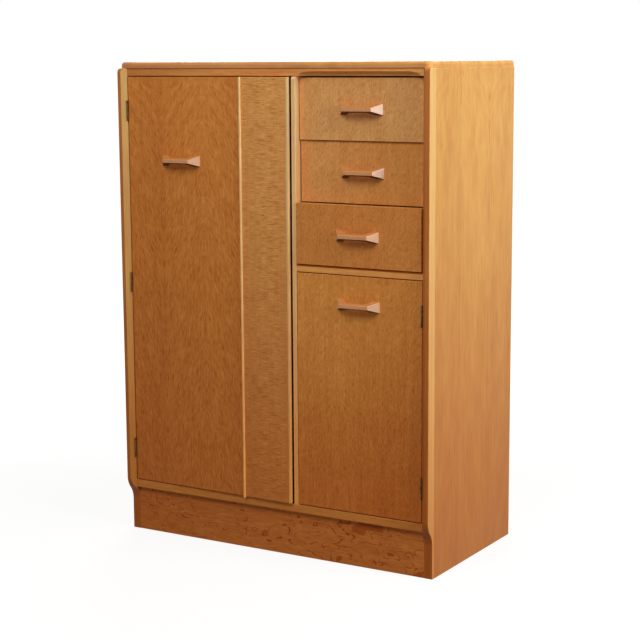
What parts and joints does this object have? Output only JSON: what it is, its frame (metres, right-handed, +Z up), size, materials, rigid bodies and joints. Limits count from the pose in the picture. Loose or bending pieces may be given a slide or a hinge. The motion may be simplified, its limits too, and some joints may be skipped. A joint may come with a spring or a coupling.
{
  "type": "chifforobe",
  "caption": "Wooden cabinet with a tall hinged wardrobe door beside a stack of sliding drawers over a small hinged cupboard door, on a recessed plinth.",
  "frame": {"origin": "on the floor under the middle of the whole outline, pulls included, with the doors and drawers as stored", "axes": "+X to the right of someone facing the front, +Y from the front to the back, +Z up"},
  "size_m": [0.889, 0.475, 1.22],
  "materials": {
    "side_oak": "satin clear lacquer over straight-grained oak veneer",
    "lipping_oak": "satin clear lacquer over solid oak",
    "top_oak": "satin clear lacquer",
    "rail_oak": "satin clear lacquer over solid oak",
    "plinth_oak": "satin clear lacquer over veneer with ray flecks",
    "door_oak": "satin clear lacquer over figured oak veneer",
    "drawer_oak": "satin clear lacquer over oak veneer",
    "pull_oak": "satin clear lacquer over solid oak",
    "inner_wood": "bare planed wood",
    "plywood": "bare plywood",
    "hinge_brass": "dull aged brass"
  },
  "bodies": {
    "carcass": {"side_left": "side_oak", "side_right": "side_oak", "side_lipping_left": "lipping_oak", "side_lipping_right": "lipping_oak", "top_board": "top_oak", "top_rail": "rail_oak", "middle_rail": "rail_oak", "middle_board": "plywood", "bottom_rail": "rail_oak", "bottom_board": "inner_wood", "plinth_front": "plinth_oak", "plinth_back": "inner_wood", "partition_lipping": "lipping_oak", "partition": "inner_wood", "back_panel": "plywood", "door_stop_wardrobe": "inner_wood", "door_stop_cupboard": "inner_wood", "hanging_rail": "inner_wood", "rail_socket_left": "hinge_brass", "rail_socket_right": "hinge_brass", "hinge_fixed_wardrobe_top": "hinge_brass", "hinge_fixed_wardrobe_middle": "hinge_brass", "hinge_fixed_wardrobe_bottom": "hinge_brass", "hinge_fixed_cupboard_top": "hinge_brass", "hinge_fixed_cupboard_bottom": "hinge_brass", "runner_top_left": "inner_wood", "runner_top_right": "inner_wood", "runner_middle_left": "inner_wood", "runner_middle_right": "inner_wood", "runner_bottom_left": "inner_wood", "runner_bottom_right": "inner_wood"},
    "wardrobe_door": {"wardrobe_door_panel": "door_oak", "wardrobe_door_lipping": "lipping_oak", "wardrobe_door_bead": "rail_oak", "wardrobe_door_pull": "pull_oak", "hinge_leaf_wardrobe_top": "hinge_brass", "hinge_leaf_wardrobe_middle": "hinge_brass", "hinge_leaf_wardrobe_bottom": "hinge_brass"},
    "cupboard_door": {"cupboard_door_panel": "door_oak", "cupboard_door_pull": "pull_oak", "hinge_leaf_cupboard_top": "hinge_brass", "hinge_leaf_cupboard_bottom": "hinge_brass"},
    "drawer_top": {"drawer_top_front": "drawer_oak", "drawer_top_pull": "pull_oak", "drawer_top_side_left": "inner_wood", "drawer_top_side_right": "inner_wood", "drawer_top_bottom": "plywood", "drawer_top_back": "inner_wood"},
    "drawer_middle": {"drawer_middle_front": "drawer_oak", "drawer_middle_pull": "pull_oak", "drawer_middle_side_left": "inner_wood", "drawer_middle_side_right": "inner_wood", "drawer_middle_bottom": "plywood", "drawer_middle_back": "inner_wood"},
    "drawer_bottom": {"drawer_bottom_front": "drawer_oak", "drawer_bottom_pull": "pull_oak", "drawer_bottom_side_left": "inner_wood", "drawer_bottom_side_right": "inner_wood", "drawer_bottom_bottom": "plywood", "drawer_bottom_back": "inner_wood"}
  },
  "joints": [
    {"name": "wardrobe_door_hinge", "type": "hinge", "parent": "carcass", "child": "wardrobe_door", "pos_m": [-0.42087, -0.21025, 0.661], "axis": [0, 0, -1], "range_deg": [-1.1, 118.9]},
    {"name": "cupboard_door_hinge", "type": "hinge", "parent": "carcass", "child": "cupboard_door", "pos_m": [0.42087, -0.21025, 0.42725], "axis": [0, 0, 1], "range_deg": [0, 120]},
    {"name": "drawer_top_slide", "type": "slide", "parent": "carcass", "child": "drawer_top", "axis": [0, -1, 0], "range_m": [-0.006, 0.29]},
    {"name": "drawer_middle_slide", "type": "slide", "parent": "carcass", "child": "drawer_middle", "axis": [0, -1, 0], "range_m": [0, 0.296]},
    {"name": "drawer_bottom_slide", "type": "slide", "parent": "carcass", "child": "drawer_bottom", "axis": [0, -1, 0], "range_m": [-0.027, 0.269]}
  ]
}
